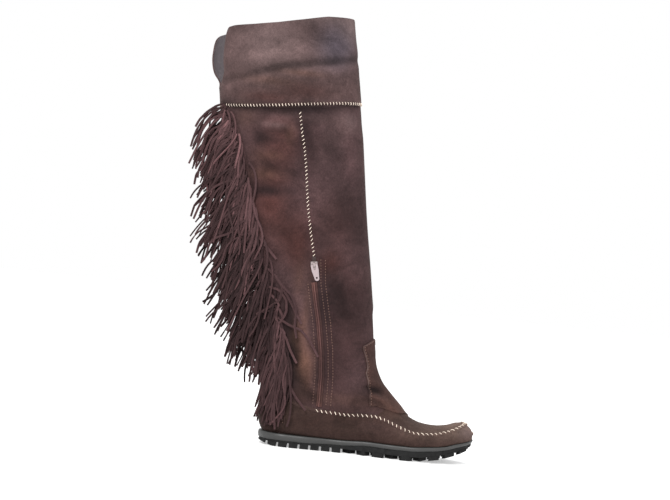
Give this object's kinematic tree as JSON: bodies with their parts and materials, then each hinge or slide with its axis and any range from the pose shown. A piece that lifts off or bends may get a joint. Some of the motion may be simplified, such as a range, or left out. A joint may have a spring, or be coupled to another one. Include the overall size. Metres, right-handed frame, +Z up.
{
  "type": "fringed moccasin boot",
  "caption": "Tall hollow suede moccasin boot with a lugged sole, stitched toe plug, side zip and a long fringe down its back.",
  "frame": {"origin": "on the floor, centre of the heel's tread", "axes": "+X to the toe, +Y to the outer side of the left foot, +Z up the shaft"},
  "size_m": [0.3496, 0.093, 0.5061],
  "materials": {
    "suede": "matt napped suede",
    "overlay_suede": "matt napped suede",
    "fringe_suede": "matt cut suede strips",
    "tread": "matt moulded rubber",
    "band": "smooth satin rubber",
    "insole": "felt",
    "zip_cloth": "woven tape with teeth",
    "zip_metal": "bright plated metal"
  },
  "bodies": {
    "boot": {"outsole": "tread", "midsole": "band", "insole": "insole", "upper": "suede", "shaft": "suede", "cuff": "suede", "moccasin_seam": "overlay_suede", "ankle_overlay": "overlay_suede", "heel_counter": "overlay_suede", "fringe_inner": "fringe_suede", "fringe_outer": "fringe_suede", "zip_tape": "zip_cloth", "zip_flap": "overlay_suede", "zip_slider": "zip_metal"},
    "pull": {"zip_pull": "zip_metal"}
  },
  "joints": [
    {"name": "pull_swing", "type": "hinge", "parent": "boot", "child": "pull", "pos_m": [0.01345, -0.04281, 0.21461], "axis": [-0.9519, -0.0006, -0.3063], "range_deg": [0, 150]}
  ]
}
